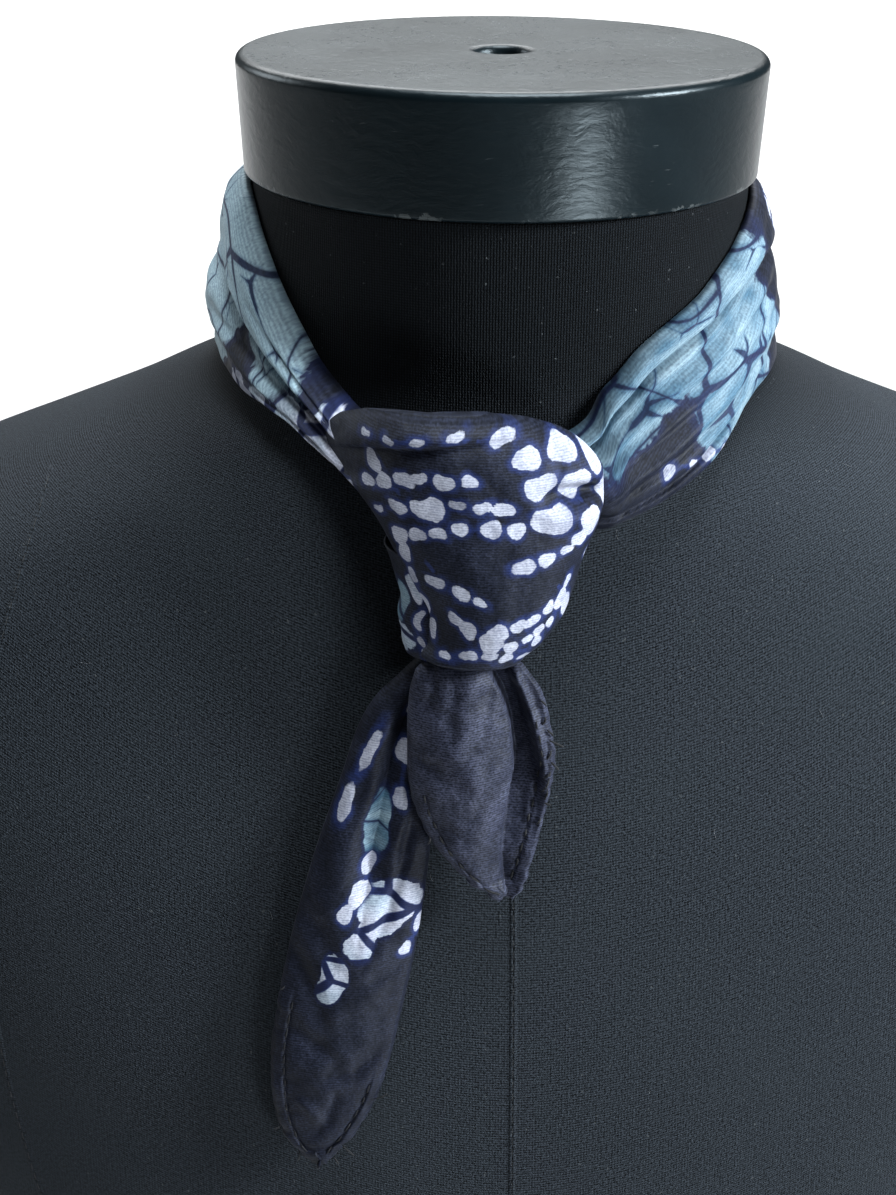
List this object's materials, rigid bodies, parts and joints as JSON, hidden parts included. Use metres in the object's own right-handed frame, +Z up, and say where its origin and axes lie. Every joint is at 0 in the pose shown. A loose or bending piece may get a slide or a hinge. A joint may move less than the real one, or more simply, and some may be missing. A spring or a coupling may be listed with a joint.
{
  "type": "silk square scarf on a dress form",
  "caption": "Silk square scarf folded into a band, wound round the neck of a limbless dress form and knotted at the front with two short pointed ends.",
  "frame": {"origin": "on the floor, under the middle of the dress form's box", "axes": "+Z up along the form's height, -Y the front of the form, where the knot is, +X the form's left side as it wears the scarf"},
  "size_m": [0.394, 0.223, 0.602],
  "materials": {
    "jersey": "black ribbed jersey over a rigid shell, with princess and centre-front seams",
    "cap": "semi-gloss black paint with fine scratches and worn edges",
    "print_blue": "batik silk twill: pale teal cells with dark blue veins on an aubergine ground",
    "print_dark": "batik silk twill: aubergine ground with rows of small pale pebbles and blue halos",
    "reverse": "plain dark reverse of the silk twill, with a stitched hem"
  },
  "bodies": {
    "root": {"form_torso": "jersey", "neck_cap": "cap", "band_left": "print_blue", "band_back": "print_dark", "band_right": "print_blue", "knot_wrap": "print_dark", "knot_core": "print_dark", "knot_under": "print_dark", "tail_long": "print_dark", "tail_short": "reverse"}
  },
  "joints": []
}
